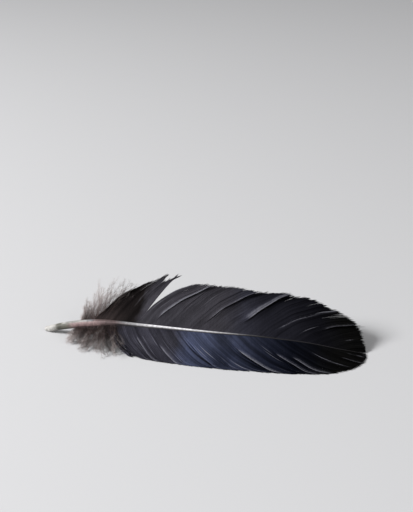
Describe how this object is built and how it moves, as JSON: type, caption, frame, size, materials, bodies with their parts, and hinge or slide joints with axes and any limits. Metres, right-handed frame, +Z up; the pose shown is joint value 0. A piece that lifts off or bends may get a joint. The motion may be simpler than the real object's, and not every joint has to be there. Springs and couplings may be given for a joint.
{
  "type": "dark vaned wing feather with a downy base",
  "caption": "Dark stiff-vaned feather with a bare pale quill, a downy base and split vanes, lying hollow side down.",
  "frame": {"origin": "on the ground under the middle of the feather's box", "axes": "+X from the quill's end to the tip, +Y across to the raised far vane, +Z up"},
  "size_m": [0.1906, 0.0612, 0.0292],
  "materials": {
    "quill_keratin": "satin",
    "near_vane_barbs": "satin",
    "far_vane_barbs": "matte",
    "down_barbs": "matte"
  },
  "bodies": {
    "root": {"shaft": "quill_keratin", "near_web_1": "near_vane_barbs", "near_web_2": "near_vane_barbs", "near_web_3": "near_vane_barbs", "near_web_4": "near_vane_barbs", "near_web_5": "near_vane_barbs", "near_web_6": "near_vane_barbs", "near_web_7": "near_vane_barbs", "near_web_tip": "near_vane_barbs", "far_web_1": "far_vane_barbs", "far_web_2": "far_vane_barbs", "far_web_3": "far_vane_barbs", "far_web_4": "far_vane_barbs", "far_web_5": "far_vane_barbs", "far_web_6": "far_vane_barbs", "far_web_7": "far_vane_barbs", "far_web_tip": "far_vane_barbs", "near_down": "down_barbs", "far_down_upper": "down_barbs", "far_down_lower": "down_barbs"}
  },
  "joints": []
}
